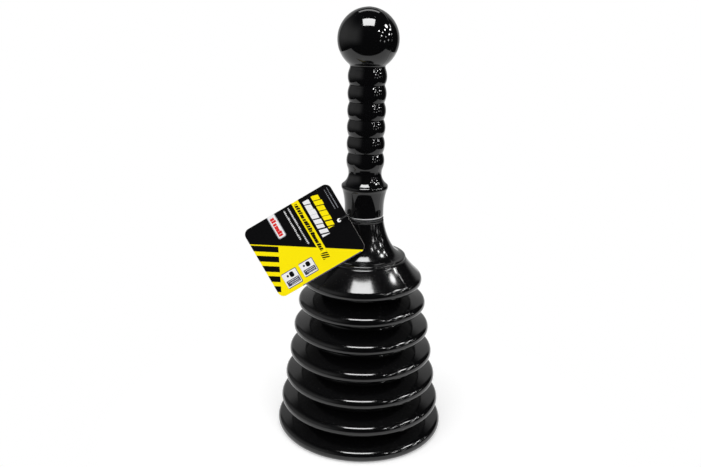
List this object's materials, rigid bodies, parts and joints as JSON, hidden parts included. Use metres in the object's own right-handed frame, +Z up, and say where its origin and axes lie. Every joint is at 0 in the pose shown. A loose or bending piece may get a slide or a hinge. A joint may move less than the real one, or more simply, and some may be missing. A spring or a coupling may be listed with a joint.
{
  "type": "bellows plunger",
  "caption": "Small black plastic bellows plunger: ball-topped beaded handle, flared shoulder, stacked round folds on a rolled open foot, with a printed swing tag tied round the neck.",
  "frame": {"origin": "on the plunger's own axis, at the floor under the open foot", "axes": "+Z up along the handle, -Y towards the front, where the tag's printed face looks, -X towards the side the tag sticks out to"},
  "size_m": [0.158, 0.136, 0.3357],
  "materials": {
    "handle_plastic": "gloss",
    "bellows_plastic": "gloss",
    "tag_print": "satin",
    "tie_cord": "matte"
  },
  "bodies": {
    "base": {"bellows_foot": "bellows_plastic", "bellows_folds": "bellows_plastic"},
    "handle": {"handle_grip": "handle_plastic", "bellows_neck": "bellows_plastic"},
    "tie": {"tag_tie": "tie_cord"},
    "tag": {"tag_card": "tag_print"}
  },
  "joints": [
    {"name": "plunge", "type": "slide", "parent": "base", "child": "handle", "axis": [0, 0, 1], "range_m": [-0.055, 0], "stiffness_N_per_m": 2000, "deforming": ["bellows_folds"]},
    {"name": "tag_turn", "type": "hinge", "parent": "handle", "child": "tie", "pos_m": [0, 0, 0.17815], "axis": [0, 0, 1], "continuous": true},
    {"name": "tag_lift", "type": "hinge", "parent": "tie", "child": "tag", "pos_m": [-0.01498, -0.01898, 0.18271], "axis": [-0.527, 0.24, 0.8153], "range_deg": [0, 70]}
  ]
}
